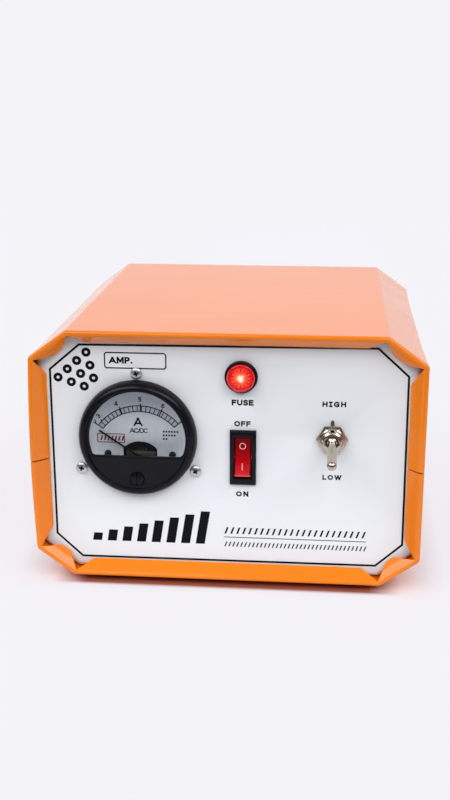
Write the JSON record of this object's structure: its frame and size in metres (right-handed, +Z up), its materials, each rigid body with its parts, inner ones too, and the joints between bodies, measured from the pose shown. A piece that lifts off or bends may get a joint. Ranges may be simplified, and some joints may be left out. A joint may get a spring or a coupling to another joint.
{
  "type": "car battery charger",
  "caption": "Bench battery charger in a folded octagonal sheet-metal case, with a round ammeter, a lamp, a rocker switch and a toggle switch on its recessed front panel.",
  "frame": {"origin": "middle of the footprint of the whole part, on the plane that the feet stand on", "axes": "+X to the right seen from the front, +Y from the front panel to the back, +Z up"},
  "size_m": [0.2118, 0.2188, 0.1425],
  "materials": {
    "orange_paint": "smooth semi-gloss orange enamel",
    "panel_enamel": "smooth pale grey-white enamel with dark printed lines",
    "zinc_steel": "zinc-plated",
    "rubber": "matte",
    "black_gloss": "glossy moulded",
    "black_matte": "matte moulded",
    "window_pane": "clear polished",
    "dial_aluminium": "satin lacquered",
    "brass": "drawn",
    "winding_copper": "enamelled copper wire",
    "winding_tape": "varnished tape",
    "red_lens": "translucent red",
    "clear_glass": "clear",
    "nickel": "nickel-plated",
    "core_steel": "varnished laminations",
    "nylon": "natural nylon",
    "aluminium": "extruded"
  },
  "bodies": {
    "charger": {"bottom_tray": "orange_paint", "top_cover": "orange_paint", "front_panel": "panel_enamel", "rear_panel": "panel_enamel", "case_screws": "zinc_steel", "clinch_nuts": "zinc_steel", "feet": "rubber", "foot_screws": "zinc_steel", "foot_nuts": "zinc_steel", "meter_bezel": "black_gloss", "meter_window": "window_pane", "meter_case": "black_matte", "meter_dial": "dial_aluminium", "dial_screws": "black_matte", "meter_coil": "winding_copper", "meter_bridge": "brass", "hairspring": "brass", "meter_screws": "zinc_steel", "meter_clamps": "zinc_steel", "meter_nuts": "zinc_steel", "meter_terminals": "brass", "lamp_bezel": "black_gloss", "lamp_lens": "red_lens", "lamp_nut": "zinc_steel", "lamp_bulb": "clear_glass", "switch_body": "black_gloss", "switch_terminals": "zinc_steel", "toggle_body": "black_matte", "toggle_bushing": "nickel", "toggle_pin": "zinc_steel", "toggle_nut": "nickel", "toggle_back_nut": "nickel", "toggle_lock_washer": "nickel", "toggle_terminals": "brass", "transformer_core": "core_steel", "transformer_bobbin": "nylon", "primary_winding": "winding_copper", "secondary_winding": "winding_tape", "transformer_strap": "zinc_steel", "base_bolts": "zinc_steel", "base_nuts": "zinc_steel", "heat_sink": "aluminium", "rectifier": "black_matte", "rectifier_screw": "zinc_steel", "rectifier_tabs": "zinc_steel", "fuse_block": "black_matte", "glass_fuse": "clear_glass", "terminal_strip": "black_matte", "mains_grommet": "rubber", "output_grommet": "rubber"},
    "rocker": {"switch_rocker": "red_lens"},
    "toggle_lever": {"toggle_lever": "nickel"},
    "meter_pointer": {"meter_pointer": "black_matte"},
    "zero_adjuster": {"zero_adjuster": "black_gloss"}
  },
  "joints": [
    {"name": "rocker_tilt", "type": "hinge", "parent": "charger", "child": "rocker", "pos_m": [0.0089, -0.07979, 0.0728], "axis": [1, 0, 0], "range_deg": [0, 22]},
    {"name": "toggle_swing", "type": "hinge", "parent": "charger", "child": "toggle_lever", "pos_m": [0.0563, -0.08669, 0.0845], "axis": [-1, 0, 0], "range_deg": [0, 34]},
    {"name": "pointer_turn", "type": "hinge", "parent": "charger", "child": "meter_pointer", "pos_m": [-0.0479, -0.08239, 0.06925], "axis": [0, 1, 0], "range_deg": [0, 105], "stiffness_Nm_per_rad": 0.0002},
    {"name": "zero_turn", "type": "hinge", "parent": "charger", "child": "zero_adjuster", "pos_m": [-0.0479, -0.08239, 0.06065], "axis": [0, 1, 0], "range_deg": [-30, 30]}
  ]
}
